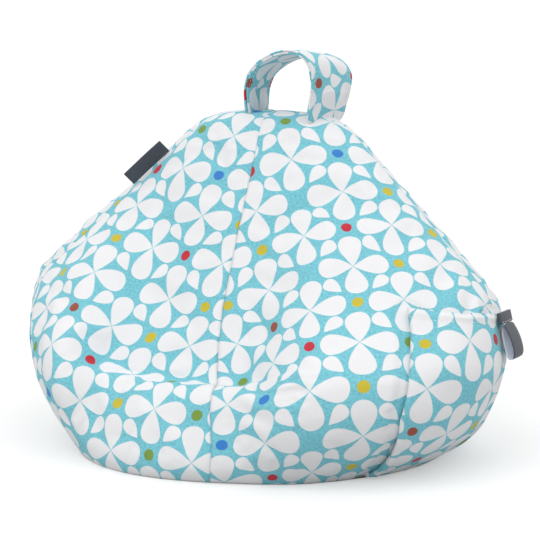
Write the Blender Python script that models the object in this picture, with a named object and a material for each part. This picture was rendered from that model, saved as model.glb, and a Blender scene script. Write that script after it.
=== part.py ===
"""A bean bag cushion stand: a printed cotton cover over a liner full of beads.

The front has a ledge and a leaning rest, a carrying loop stands on top, a pocket is sewn to the
right side, and a zip closes the back. X is to the right, the bag faces -Y, and Z is up.
"""

import math

import bmesh
import bpy
from mathutils import Matrix, Vector
from mathutils.bvhtree import BVHTree

# The bag's own size
BAG_HEIGHT = 0.221
BAG_HALF_WIDTH = 0.173
FRONT_REACH = 0.121
BACK_REACH = 0.125
LEFT_LEAN = 0.021
TOP_CROWN = 0.002
SECTION_ROUNDNESS = 2.15

# The ledge across the front and the rest behind it
LIP_REACH = 0.1075
LIP_HEIGHT = 0.058
CREASE_REACH = 0.0705
CREASE_HEIGHT = 0.056
REST_LENGTH = 0.171
REST_LEAN = math.radians(32)
LEDGE_LEFT = 0.085
LEDGE_RIGHT = 0.006
LEFT_FADE = 0.035
RIGHT_FADE = 0.050

# Cloth, and the gap that every pair of neighbours keeps
COVER_CLOTH = 0.0012
LINER_CLOTH = 0.0008
SEAM_GAP = 0.0003

# Seams that run up the bag, as angles from the front, and the steps between them
LEFT_RIDGE = math.radians(-63)
RIGHT_RIDGE = math.radians(90)
POCKET_EDGE = math.radians(48)
LEFT_BEND = math.radians(-45)
RIGHT_BEND = math.radians(30)
BACK_CENTRE = math.radians(180)
TURN = math.radians(360)

# Rows of height, half width, lean to the left, front, back and twist, each a share of its size
LEVEL_SHARES = (
    (0.000, 0.676, 0.19, 0.860, 0.800, 0.170),
    (0.041, 0.746, 0.05, 0.893, 0.872, 0.130),
    (0.109, 0.838, 0.05, 0.959, 0.928, 0.060),
    (0.204, 0.919, 0.24, 1.000, 0.976, -0.010),
    (0.326, 0.983, 0.40, 0.909, 1.000, -0.065),
    (0.452, 1.000, 0.78, 0.612, 0.976, -0.100),
    (0.543, 0.913, 0.90, 0.405, 0.921, -0.110),
    (0.606, 0.827, 0.90, 0.273, 0.883, -0.110),
    (0.670, 0.740, 0.90, 0.157, 0.844, -0.110),
    (0.760, 0.607, 0.88, 0.008, 0.789, -0.110),
    (0.819, 0.526, 0.86, -0.074, 0.754, -0.110),
    (0.882, 0.445, 0.86, -0.149, 0.715, -0.080),
    (0.941, 0.358, 0.86, -0.215, 0.680, -0.060),
    (0.973, 0.306, 0.86, -0.248, 0.648, -0.040),
    (1.000, 0.214, 0.86, -0.314, 0.592, -0.030),
)
# Heights of the rings at the sides, the lip's outline, and places along the rest
RING_SHARES = (
    0.0, 0.032, 0.077, 0.131, 0.186, 0.235, 0.276, 0.308, 0.335, 0.362, 0.398,
    0.443, 0.498, 0.552, 0.62, 0.692, 0.765, 0.833, 0.896, 0.946, 0.977, 1.0,
)
LIP_SHARES = (
    (0.930, 0.000), (0.990, 0.120), (1.000, 0.276), (0.972, 0.448), (0.926, 0.638),
    (0.893, 0.810), (0.851, 0.931), (0.790, 1.000), (0.726, 1.009),
)
REST_SHARES = (0.0, 0.04, 0.145, 0.255, 0.38, 0.52, 0.655, 0.78, 0.895, 0.985)
RIDGE_SHARE = 0.6
FRONT_EDGE_SHARE = 0.3

# The liner's filling mouth, counted in rings and columns, and its closure
MOUTH_RINGS = (11, 13)
MOUTH_COLUMNS = (2, 4)

# The carrying loop
LOOP_CENTRE_X = -0.0056
LOOP_CENTRE_Y = 0.0567
LOOP_PIVOT_RISE = 0.0015
LOOP_TURN = math.radians(-8.6)
LOOP_LEAN_BACK = math.radians(5.4)
LOOP_HALF_SPAN = 0.0361
LOOP_PINCH_SHARE = 0.267
LOOP_RISE = 0.0415
LOOP_SKEW = 0.0087
LOOP_ROUNDNESS = 0.88
STRAP_WIDTH = 0.047
STRAP_FLARE = 0.0042
STRAP_STEPS = 28
STRAP_LANES = 6
LOOP_FOOT_RADIUS = 0.025
LOOP_FOOT_GAP = 0.0012
STRAP_SINK = 0.020

# The pocket and its tag
POCKET_RINGS = 12
POCKET_DEPTH = 0.0115
POCKET_GAP = 0.0005
POCKET_HEM_CLOTH = 0.0008
POCKET_MOUTH_FALL_SHARE = 0.85
POCKET_FALL_RATE = 4
POCKET_SKEW = 0.6
POCKET_SWELL = 1.2
TAG_ANGLE = math.radians(84)
TAG_TWIST = math.radians(5)
TAG_LEVEL_SHARE = 0.4344
TAG_WIDTH = 0.0165
TAG_LENGTH = 0.024
TAG_HEAD = 0.0075
TAG_RIBBON = 0.0007
TAG_FOLD_GAP = 0.0012
TAG_LOOP_WIDTH = 0.0062
TAG_LOOP_SHARES = (
    (0.0, 0.0), (0.0, 0.5), (0.02, 0.8), (0.12, 0.93), (0.38, 0.985),
    (0.72, 0.955), (0.93, 0.84), (0.98, 0.66), (0.86, 0.36), (0.55, 0.12),
)
TAG_STANDOFF = 0.0082

# The woven label in the left ridge seam
LABEL_LENGTH = 0.0345
LABEL_WIDTH = 0.0105
LABEL_CLOTH = 0.0008
LABEL_LEVEL_SHARE = 0.8145
LABEL_TILT = math.radians(-3)

# The zip up the back
ZIP_RINGS = (13, 18)
ZIP_OPENING = 0.0095
ZIP_DEPTH = 0.0024
ZIP_DENT = 0.0058
ZIP_TOP_ROOM = 0.0030
TAPE_WIDTH = 0.0085
TAPE_CLOTH = 0.0006
TEETH_WIDTH = 0.0019
TEETH_HEIGHT = 0.0020
TEETH_SLOT = 0.0012
TOOTH_PITCH = 0.0028
TOOTH_NOTCH = 0.0005
TOOTH_CROWN_SHARE = 0.55
STOP_LENGTH = 0.0024
SLIDER_LENGTH = 0.0100
SLIDER_WIDTH = 0.0078
SLIDER_PLATE = 0.0011
SLIDER_POST = 0.0005
SLIDER_POST_LENGTH = 0.0036
SLIDER_CLEARANCE = 0.0004
BRIDGE_WIDTH = 0.0018
BRIDGE_BAR = 0.0009
BRIDGE_ROOM = 0.0018
PULL_BAR = 0.0009
PULL_LENGTH = 0.024
PULL_WIDTH = 0.0068
PULL_PLATE = 0.0010
PULL_EYE_LENGTH = 0.0075
PULL_ARM = 0.0012

MATERIALS = {
    "printed_cotton": ((0.40, 0.76, 0.80), 0.92, 0.0),
    "base_cotton": ((0.30, 0.27, 0.20), 0.95, 0.0),
    "liner_cloth": ((0.86, 0.86, 0.84), 0.95, 0.0),
    "beads": ((0.95, 0.95, 0.94), 0.8, 0.0),
    "ribbon": ((0.045, 0.055, 0.07), 0.8, 0.0),
    "zip_tape": ((0.10, 0.45, 0.50), 0.9, 0.0),
    "zip_coil": ((0.12, 0.48, 0.54), 0.45, 0.0),
    "zip_metal": ((0.62, 0.62, 0.60), 0.35, 1.0),
}


def clear_scene():
    for thing in list(bpy.data.objects):
        bpy.data.objects.remove(thing, do_unlink=True)


def material(name):
    made = bpy.data.materials.get(name)
    if made is None:
        colour, roughness, metallic = MATERIALS[name]
        made = bpy.data.materials.new(name)
        made.use_nodes = True
        shader = made.node_tree.nodes["Principled BSDF"]
        shader.inputs["Base Color"].default_value = (*colour, 1.0)
        shader.inputs["Roughness"].default_value = roughness
        shader.inputs["Metallic"].default_value = metallic
        made.diffuse_color = (*colour, 1.0)
    return made


def add_object(name, shape, finish):
    """Turns a bmesh into a shaded object of one material."""
    mesh = bpy.data.meshes.new(name)
    shape.to_mesh(mesh)
    shape.free()
    mesh.materials.append(material(finish))
    mesh.shade_smooth()
    mesh.set_sharp_from_angle(angle=math.radians(40))
    made = bpy.data.objects.new(name, mesh)
    bpy.context.collection.objects.link(made)
    return made


def eased(rows, at, column):
    """One column of a table at a place between its rows, on a curve that never overshoots."""
    last = len(rows) - 2
    index = max(i for i in range(last + 1) if i == 0 or rows[i][0] <= at)
    steps = [rows[i + 1][0] - rows[i][0] for i in range(last + 1)]
    rises = [(rows[i + 1][column] - rows[i][column]) / steps[i] for i in range(last + 1)]

    def slope(i):
        if i == 0:
            return rises[0]
        if i > last:
            return rises[last]
        before, after = rises[i - 1], rises[i]
        return 2 * before * after / (before + after) if before * after > 0 else 0.0

    step = steps[index]
    t = (at - rows[index][0]) / step
    start, end = rows[index][column], rows[index + 1][column]
    return (
        start * (1 + 2 * t) * (1 - t) ** 2
        + end * t * t * (3 - 2 * t)
        + step * t * (1 - t) ** 2 * slope(index)
        - step * t * t * (1 - t) * slope(index + 1)
    )


def rounded(value):
    """Sine or cosine pulled towards a fuller oval."""
    return math.copysign(abs(value) ** (2 / SECTION_ROUNDNESS), value)


def smoothed(share):
    share = min(max(share, 0.0), 1.0)
    return share * share * (3 - 2 * share)


def front_outline():
    """The bag's outline in its middle plane, from the foot over the lip and up the rest."""
    lip = [(-LIP_REACH * reach, LIP_HEIGHT * height) for reach, height in LIP_SHARES]
    rest = [
        (
            -CREASE_REACH + REST_LENGTH * share * math.sin(REST_LEAN),
            CREASE_HEIGHT + REST_LENGTH * share * math.cos(REST_LEAN),
        )
        for share in REST_SHARES
    ]
    return lip + rest


def section(level):
    """Half width, centre x, front y, back y and twist at a share of the height."""
    half_width = BAG_HALF_WIDTH * eased(LEVEL_SHARES, level, 1)
    centre = -LEFT_LEAN * eased(LEVEL_SHARES, level, 2)
    front = -FRONT_REACH * eased(LEVEL_SHARES, level, 3)
    back = BACK_REACH * eased(LEVEL_SHARES, level, 4)
    return half_width, centre, front, back, eased(LEVEL_SHARES, level, 5)


def ledge_share(x, facing):
    """How much of the ledge a place across the front has, from none to all."""
    left = (x + LEDGE_LEFT + LEFT_FADE) / LEFT_FADE
    right = (LEDGE_RIGHT + RIGHT_FADE - x) / RIGHT_FADE
    return smoothed(left) * smoothed(right) * smoothed(facing / FRONT_EDGE_SHARE)


def skin_point(ring, angle):
    """A point of the cover's outer face."""
    level = RING_SHARES[ring]
    half_width, centre, front, back, twist = section(level)
    across, along = rounded(math.sin(angle)), rounded(math.cos(angle))
    x = centre + half_width * across
    y = (front + back) / 2 - along * (back - front) / 2 + twist * half_width * across
    z = BAG_HEIGHT * level
    if ring < len(OUTLINE):
        share = ledge_share(x, along)
        outline_y, outline_z = OUTLINE[ring]
        y += share * (outline_y - (front - twist * centre))
        z += share * (outline_z - z)
    return Vector((x, y, z))


def ridge_point(angle):
    """A point of the seam along the top, where the front and the back meet."""
    half_width, centre, front, back, twist = section(1.0)
    quarters = (
        (LEFT_RIDGE, -1), (0.0, 0), (RIGHT_RIDGE, 1), (BACK_CENTRE, 2), (TURN + LEFT_RIDGE, 3),
    )
    start, end = next(pair for pair in zip(quarters, quarters[1:]) if angle <= pair[1][0])
    turn = start[1] + (angle - start[0]) / (end[0] - start[0])
    across = RIDGE_SHARE * rounded(math.sin(turn * BACK_CENTRE / 2))
    x = centre + half_width * across
    y = (front + back) / 2 + twist * half_width * across
    return Vector((x, y, BAG_HEIGHT + TOP_CROWN))


def spread(start, end, steps):
    return [start + (end - start) * i / steps for i in range(steps)]


OUTLINE = front_outline()
ANGLES = (
    spread(LEFT_RIDGE, LEFT_BEND, 2)
    + spread(LEFT_BEND, 0.0, 9)
    + spread(0.0, RIGHT_BEND, 6)
    + spread(RIGHT_BEND, POCKET_EDGE, 2)
    + spread(POCKET_EDGE, RIGHT_RIDGE, 6)
    + spread(RIGHT_RIDGE, BACK_CENTRE, 9)
    + spread(BACK_CENTRE, TURN + LEFT_RIDGE, 12)
)
FRONT_COLUMN = 11
POCKET_COLUMN = 19
RIGHT_COLUMN = 25
BACK_COLUMN = 34
RINGS = len(RING_SHARES)
SKIN = [[skin_point(ring, angle) for angle in ANGLES] for ring in range(RINGS)]


def facing(ring, column):
    """The outward direction of the skin at one of its points."""
    count = len(ANGLES)
    along = SKIN[ring][(column + 1) % count] - SKIN[ring][column - 1]
    above, below = min(ring + 1, RINGS - 1), max(ring - 1, 0)
    up = SKIN[above][column % count] - SKIN[below][column % count]
    out = along.cross(up)
    if ring == 0:
        out.z = 0.0
    return out.normalized()


NORMALS = [[facing(ring, column) for column in range(len(ANGLES))] for ring in range(RINGS)]


def layer(depth, lift=0.0, dent=0.0):
    """The whole skin moved inwards by a depth, its foot lifted, with a dent behind the zip."""
    rows = []
    first, last = ZIP_RINGS
    for ring in range(RINGS):
        row = []
        for column in range(len(ANGLES)):
            dented = column == BACK_COLUMN and first <= ring <= last
            inwards = depth + (dent if dented else 0.0)
            point = SKIN[ring][column] - inwards * NORMALS[ring][column]
            row.append(Vector((point.x, point.y, max(point.z, lift))))
        rows.append(row)
    return rows


def stitch_grid(shape, rows, flip=False):
    """Triangles between rows of points, and the points that they use."""
    points = [[shape.verts.new(point) for point in row] for row in rows]
    for low, high in zip(points, points[1:]):
        for i in range(len(low) - 1):
            for corners in ((low[i], low[i + 1], high[i + 1]), (low[i], high[i + 1], high[i])):
                shape.faces.new(corners[::-1] if flip else corners)
    return points


def rim(points):
    """The border of a grid of points, in order."""
    right = [row[-1] for row in points[1:-1]]
    left = [row[0] for row in points[-2:0:-1]]
    return points[0] + right + points[-1][::-1] + left


def slab(outer, inner):
    """A closed sheet between an outer and an inner grid of places."""
    shape = bmesh.new()
    front = rim(stitch_grid(shape, outer))
    back = rim(stitch_grid(shape, inner, flip=True))
    for i, corner in enumerate(front):
        after = (i + 1) % len(front)
        shape.faces.new((corner, back[i], back[after]))
        shape.faces.new((corner, back[after], front[after]))
    return shape


def box(shape, size, centre, turn=Matrix.Identity(3)):
    """Adds a box of a size at a centre, turned by a matrix."""
    made = bmesh.ops.create_cube(shape, size=1.0)
    for corner in made["verts"]:
        corner.co = centre + turn @ Vector([a * b for a, b in zip(corner.co, size)])
    return made["verts"]


def trimmed(rows, sides=(True, True), top=True):
    """The grid with half the seam gap taken off its sides and its top."""
    rows = [list(row) for row in rows]
    trim = SEAM_GAP / 2
    for row in rows:
        if sides[0]:
            row[0] = row[0] + trim * (row[1] - row[0]).normalized()
        if sides[1]:
            row[-1] = row[-1] + trim * (row[-2] - row[-1]).normalized()
    if top:
        rows[-1] = [a + trim * (b - a).normalized() for a, b in zip(rows[-1], rows[-2])]
    return rows


def panel_rows(first, last, depth):
    """A cover panel's points between two columns, at a depth below the skin."""
    columns = range(first, last + 1)
    whole = layer(depth)
    rows = [[row[c % len(ANGLES)] for c in columns] for row in whole]
    turns = [ANGLES[c % len(ANGLES)] for c in columns]
    rows.append([ridge_point(turn) - Vector((0, 0, depth)) for turn in turns])
    return rows


def clear_of_zip(rows, side):
    """Moves the edge of a back panel off the centre line, wider beside the zip."""
    edge, inner = (-1, -2) if side > 0 else (0, 1)
    first, last = ZIP_RINGS
    for ring, row in enumerate(rows):
        away = (row[inner] - row[edge]).normalized()
        width = ZIP_OPENING if first <= ring <= last else SEAM_GAP
        row[edge] = row[edge] + width / 2 * away
    return rows


def cover_panel(name, first, last, zip_side=0):
    grids = []
    for depth in (0.0, COVER_CLOTH):
        rows = panel_rows(first, last, depth)
        rows = trimmed(rows, sides=(zip_side >= 0, zip_side <= 0))
        grids.append(clear_of_zip(rows, zip_side) if zip_side else rows)
    return add_object(name, slab(*grids), "printed_cotton")


def make_cover():
    cover_panel("front_left_panel", 0, FRONT_COLUMN)
    cover_panel("front_right_panel", FRONT_COLUMN, RIGHT_COLUMN)
    cover_panel("back_right_panel", RIGHT_COLUMN, BACK_COLUMN, zip_side=1)
    cover_panel("back_left_panel", BACK_COLUMN, len(ANGLES), zip_side=-1)


def make_base():
    """The flat panel under the bag."""
    foot = layer(COVER_CLOTH + SEAM_GAP)[0]
    shape = bmesh.new()
    lower = [shape.verts.new(point) for point in foot]
    upper = [shape.verts.new(point + Vector((0, 0, COVER_CLOTH))) for point in foot]
    middle = sum(foot, Vector()) / len(foot)
    below = shape.verts.new(middle)
    above = shape.verts.new(middle + Vector((0, 0, COVER_CLOTH)))
    for i in range(len(foot)):
        after = (i + 1) % len(foot)
        shape.faces.new((lower[after], lower[i], below))
        shape.faces.new((upper[i], upper[after], above))
        shape.faces.new((lower[i], lower[after], upper[after], upper[i]))
    add_object("base_panel", shape, "base_cotton")


def wrap(shape, rows, depth, flip=False, skip=()):
    """A closed bag through the rows at a depth, with a fan under it and one over it."""
    count = len(rows[0])
    points = [[shape.verts.new(point) for point in row] for row in rows]

    def face(*corners):
        shape.faces.new(corners[::-1] if flip else corners)

    for ring in range(len(rows) - 1):
        for i in range(count):
            if (ring, i) in skip:
                continue
            after = (i + 1) % count
            low, high = points[ring], points[ring + 1]
            face(low[i], low[after], high[after])
            face(low[i], high[after], high[i])
    for ring in (0, -1):
        middle = sum(rows[ring], Vector()) / count
        if ring:
            middle.z = BAG_HEIGHT + TOP_CROWN - depth
        pole = shape.verts.new(middle)
        for i in range(count):
            after = (i + 1) % count
            ends = (points[ring][i], points[ring][after])
            face(*(ends if ring else ends[::-1]), pole)
    return points


def mouth_rim():
    """The border of the liner's mouth, as rings and columns in order."""
    low, high = MOUTH_RINGS
    first, last = (BACK_COLUMN + c for c in MOUTH_COLUMNS)
    along = [(low, c) for c in range(first, last)] + [(r, last) for r in range(low, high)]
    back = [(high, c) for c in range(last, first, -1)]
    return along + back + [(r, first) for r in range(high, low, -1)]


def make_liner():
    """The bag that holds the beads, its closure, and the beads as one body."""
    outside = COVER_CLOTH + SEAM_GAP
    inside = outside + LINER_CLOTH
    border = mouth_rim()
    low, high = MOUTH_RINGS
    first, last = (BACK_COLUMN + c for c in MOUTH_COLUMNS)
    gone = {(ring, column) for ring in range(low, high) for column in range(first, last)}
    shape = bmesh.new()
    outer = wrap(shape, layer(outside, outside, ZIP_DENT), outside, skip=gone)
    inner = wrap(shape, layer(inside, inside, ZIP_DENT), inside, flip=True, skip=gone)
    for (ring, column), (to_ring, to_column) in zip(border, border[1:] + border[:1]):
        here, there = outer[ring][column], outer[to_ring][to_column]
        under, far = inner[ring][column], inner[to_ring][to_column]
        shape.faces.new((here, there, far))
        shape.faces.new((here, far, under))
    add_object("inner_liner", shape, "liner_cloth")

    filling = bmesh.new()
    depth = inside + SEAM_GAP
    wrap(filling, layer(depth, depth, ZIP_DENT), depth)
    add_object("bead_fill", filling, "beads")

    grids = []
    for depth in (outside, inside):
        rows = layer(depth)[low : high + 1]
        rows = [row[first : last + 1] for row in rows]
        rows = trimmed(rows)
        rows[0] = [a + SEAM_GAP * (b - a).normalized() for a, b in zip(rows[0], rows[1])]
        rows[-1] = [a + SEAM_GAP * (b - a).normalized() for a, b in zip(rows[-1], rows[-2])]
        for row in rows:
            row[0] = row[0] + SEAM_GAP * (row[1] - row[0]).normalized()
            row[-1] = row[-1] + SEAM_GAP * (row[-2] - row[-1]).normalized()
        grids.append(rows)
    add_object("liner_closure", slab(*grids), "liner_cloth")


def pocket_stand(column, row):
    """How far the pocket stands off the skin at a share across and a share up."""
    return POCKET_DEPTH * math.sin(math.pi * column ** POCKET_SKEW) * row**POCKET_SWELL


def pocket_rows(depth, first=POCKET_COLUMN, last=RIGHT_COLUMN):
    """The pocket's points, at a distance out from its own inner face."""
    rows = []
    for ring in range(POCKET_RINGS + 1):
        row = []
        for column in range(first, last + 1):
            across = (column - POCKET_COLUMN) / (RIGHT_COLUMN - POCKET_COLUMN)
            point = SKIN[ring][column].copy()
            if ring == POCKET_RINGS:
                fall = POCKET_MOUTH_FALL_SHARE * smoothed(POCKET_FALL_RATE * across)
                point = point.lerp(SKIN[ring - 1][column], fall)
            stand = POCKET_GAP + pocket_stand(across, ring / POCKET_RINGS) + depth
            point += stand * NORMALS[ring][column]
            row.append(point)
        rows.append(row)
    return rows


def make_pocket():
    panel = slab(pocket_rows(COVER_CLOTH), pocket_rows(0.0))
    add_object("pocket_panel", panel, "printed_cotton")
    first, last = POCKET_COLUMN + 1, RIGHT_COLUMN - 1
    out, back = -SEAM_GAP, -SEAM_GAP - POCKET_HEM_CLOTH
    hem = slab(*(pocket_rows(d, first, last)[-2:] for d in (out, back)))
    add_object("pocket_hem", hem, "printed_cotton")


def frame_at(angle, height):
    """Place, outward, sideways and upward directions on the skin, at an angle and a height."""
    tree = [skin_point(ring, angle) for ring in range(RINGS)]
    ring = max(i for i in range(RINGS - 1) if tree[i].z <= height)
    share = (height - tree[ring].z) / (tree[ring + 1].z - tree[ring].z)
    place = tree[ring].lerp(tree[ring + 1], share)
    up = (tree[ring + 1] - tree[ring]).normalized()
    step = (RIGHT_RIDGE - POCKET_EDGE) / (RIGHT_COLUMN - POCKET_COLUMN)
    near = skin_point(ring, angle + step) - skin_point(ring, angle - step)
    out = near.cross(up).normalized()
    side = up.cross(out).normalized()
    return place, out, side, up


def thickened(path, thickness):
    """The closed outline of a path given a thickness."""
    sides = ([], [])
    for i, point in enumerate(path):
        before, after = Vector(path[max(i - 1, 0)]), Vector(path[min(i + 1, len(path) - 1)])
        run = (after - before).normalized() * thickness / 2
        sides[0].append((point[0] + run.y, point[1] - run.x))
        sides[1].append((point[0] - run.y, point[1] + run.x))
    return sides[0] + sides[1][::-1]


def ribbon(name, outline, origin, turn):
    """A piece of ribbon with an outline in its own out and up directions, on its pivot."""
    shape = bmesh.new()
    verts = [shape.verts.new(turn @ Vector((-TAG_WIDTH / 2, a, b))) for a, b in outline]
    grown = bmesh.ops.extrude_face_region(shape, geom=[shape.faces.new(verts)])
    moved = [part for part in grown["geom"] if isinstance(part, bmesh.types.BMVert)]
    bmesh.ops.translate(shape, verts=moved, vec=turn @ Vector((TAG_WIDTH, 0, 0)))
    bmesh.ops.recalc_face_normals(shape, faces=shape.faces)
    bmesh.ops.triangulate(shape, faces=shape.faces)
    made = add_object(name, shape, "ribbon")
    made.location = origin
    return made


def make_tag():
    """A ribbon folded into a loop, which hangs from its sewn head at the pocket's corner."""
    height = BAG_HEIGHT * TAG_LEVEL_SHARE
    place, _, side, _ = frame_at(TAG_ANGLE, height)
    below = frame_at(TAG_ANGLE, height - TAG_LENGTH)[0]
    side = Vector((side.x, side.y, 0)).normalized()
    side = Matrix.Rotation(TAG_TWIST, 3, "Z") @ (side if side.y > 0 else -side)
    rise = place - below
    rise = (rise - rise.dot(side) * side).normalized()
    out = side.cross(rise)
    turn = Matrix((side, out, rise)).transposed()
    origin = place + TAG_STANDOFF * out
    fold = (TAG_FOLD_GAP + TAG_RIBBON) / 2
    path = [
        (-fold + TAG_LOOP_WIDTH * across, -SEAM_GAP - (TAG_LENGTH - SEAM_GAP) * down)
        for across, down in TAG_LOOP_SHARES
    ]
    path.append((fold, -SEAM_GAP))
    outline = thickened(path, TAG_RIBBON)
    loop = ribbon("pocket_tag_loop", outline, origin, turn)
    thick = fold + TAG_RIBBON / 2
    head = [(-thick, 0.0), (thick, 0.0), (thick, TAG_HEAD), (-thick, TAG_HEAD)]
    ribbon("pocket_tag_head", head, origin, turn)
    print("tag pivot", tuple(round(v, 5) for v in loop.location))
    print("tag axis", tuple(round(v, 4) for v in side), "out", tuple(round(v, 4) for v in out))


def make_label():
    """A woven label sewn by its long edge into the left ridge seam, where it stands out."""
    place, out, _, up = frame_at(LEFT_RIDGE, BAG_HEIGHT * LABEL_LEVEL_SHARE)
    face = up.cross(out).normalized()
    up, out = (Matrix.Rotation(LABEL_TILT, 3, face) @ way for way in (up, out))
    turn = Matrix((up, out, face)).transposed()
    shape = bmesh.new()
    size = (LABEL_LENGTH, LABEL_WIDTH, LABEL_CLOTH)
    box(shape, size, out * LABEL_WIDTH / 2, turn)
    bmesh.ops.recalc_face_normals(shape, faces=shape.faces)
    made = add_object("side_label", shape, "ribbon")
    made.location = place + (3 * SEAM_GAP + abs(LABEL_TILT) * LABEL_LENGTH / 2) * out
    pivot = made.location
    print("label pivot", tuple(round(v, 5) for v in pivot), "axis", tuple(round(v, 4) for v in up))


def loop_frame():
    """The carrying loop's pivot, and its directions across the bag, across the strap and up."""
    span = Vector((math.cos(LOOP_TURN), math.sin(LOOP_TURN), 0))
    level = Vector((-math.sin(LOOP_TURN), math.cos(LOOP_TURN), 0))
    tilt = Matrix.Rotation(-LOOP_LEAN_BACK, 3, span)
    pivot = Vector((LOOP_CENTRE_X, LOOP_CENTRE_Y, BAG_HEIGHT + LOOP_PIVOT_RISE))
    return pivot, span, tilt @ level, tilt @ Vector((0, 0, 1))


def loop_path(share, lane):
    """A place along the loop from its left foot to its right, as across and up, for one lane."""
    turn = math.pi * (1 - share)
    rise = math.sin(turn) ** LOOP_ROUNDNESS
    pinch = 1 - LOOP_PINCH_SHARE * (1 - rise) ** 2
    half = LOOP_HALF_SPAN + STRAP_FLARE * lane
    return half * math.cos(turn) * pinch + LOOP_SKEW * rise * rise, LOOP_RISE * rise


def loop_point(share, lane, depth):
    """A place on the strap, at a depth under its outer face."""
    pivot, span, wide, up = loop_frame()
    x, h = loop_path(share, lane)
    step = 1 / STRAP_STEPS / 4
    after, before = loop_path(min(share + step, 1), lane), loop_path(max(share - step, 0), lane)
    run = Vector((after[0] - before[0], after[1] - before[1])).normalized()
    x, h = x + depth * run.y, h - depth * run.x
    return pivot + span * x + up * h + wide * (lane * STRAP_WIDTH / 2)


def loop_limit(lane, radius):
    """The share along the loop where a lane leaves the sewn foot's round."""
    wanted = math.sqrt(max(radius ** 2 - (lane * STRAP_WIDTH / 2) ** 2, 0.0))
    low, high = 0.0, 0.5
    for _ in range(40):
        middle = (low + high) / 2
        if loop_path(middle, lane)[1] < wanted:
            low = middle
        else:
            high = middle
    return high


def lanes():
    return [2 * i / STRAP_LANES - 1 for i in range(STRAP_LANES + 1)]


def strap_rows(depth, radius):
    """The moving part of the strap, lane by lane."""
    rows = []
    for lane in lanes():
        start = loop_limit(lane, radius)
        places = [start + (1 - 2 * start) * i / STRAP_STEPS for i in range(STRAP_STEPS + 1)]
        rows.append([loop_point(share, lane, depth) for share in places])
    return rows


def bag_top():
    """The bag's upper skin as a tree that rays can be dropped on."""
    shape = bmesh.new()
    wrap(shape, layer(0.0), 0.0)
    tree = BVHTree.FromBMesh(shape)
    shape.free()
    return tree


def foot_rows(side, depth, tree):
    """A sewn foot of the strap, lane by lane, from the bag's top to the moving part."""
    steps = STRAP_STEPS // 4
    rows = []
    for lane in lanes():
        end = loop_limit(lane, LOOP_FOOT_RADIUS)
        row = []
        for i in range(steps + 1):
            share = end * i / steps
            share = share if side < 0 else 1 - share
            row.append(loop_point(share, lane, depth))
        drop = row[0] + Vector((0, 0, STRAP_SINK))
        hit = tree.ray_cast(drop, Vector((0, 0, -1)))[0]
        crown = TOP_CROWN + SEAM_GAP
        row[0] = Vector((row[0].x, row[0].y, hit.z + crown))
        rows.append(row)
    return rows


def make_loop():
    """The carrying loop: two faces of cloth, each with its two sewn feet."""
    inner_depth = COVER_CLOTH + SEAM_GAP
    faces = (("strap", 0.0, COVER_CLOTH), ("lining", inner_depth, inner_depth + COVER_CLOTH))
    tree = bag_top()
    pivot, span, _, _ = loop_frame()
    for word, near, far in faces:
        radius = LOOP_FOOT_RADIUS + LOOP_FOOT_GAP
        shape = slab(strap_rows(near, radius), strap_rows(far, radius))
        bmesh.ops.recalc_face_normals(shape, faces=shape.faces)
        made = add_object(f"handle_{word}", shape, "printed_cotton")
        made.data.transform(Matrix.Translation(-pivot))
        made.location = pivot
    for word, side in (("left", -1), ("right", 1)):
        rows = (foot_rows(side, 0.0, tree), foot_rows(side, 2 * COVER_CLOTH + SEAM_GAP, tree))
        shape = slab(*rows)
        bmesh.ops.recalc_face_normals(shape, faces=shape.faces)
        add_object(f"handle_foot_{word}", shape, "printed_cotton")
    print("loop pivot", tuple(pivot), "axis", tuple(round(v, 5) for v in span))


def zip_frame():
    """The zip's lower end on the skin, and its directions across, out and along."""
    low, high = (SKIN[ring][BACK_COLUMN] for ring in ZIP_RINGS)
    along = (high - low).normalized()
    middle = SKIN[sum(ZIP_RINGS) // 2]
    out = along.cross(middle[BACK_COLUMN + 1] - middle[BACK_COLUMN - 1]).normalized()
    out = -out if out.y < 0 else out
    across = out.cross(along).normalized()
    return low, across, out, along, (high - low).length - ZIP_TOP_ROOM


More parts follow.
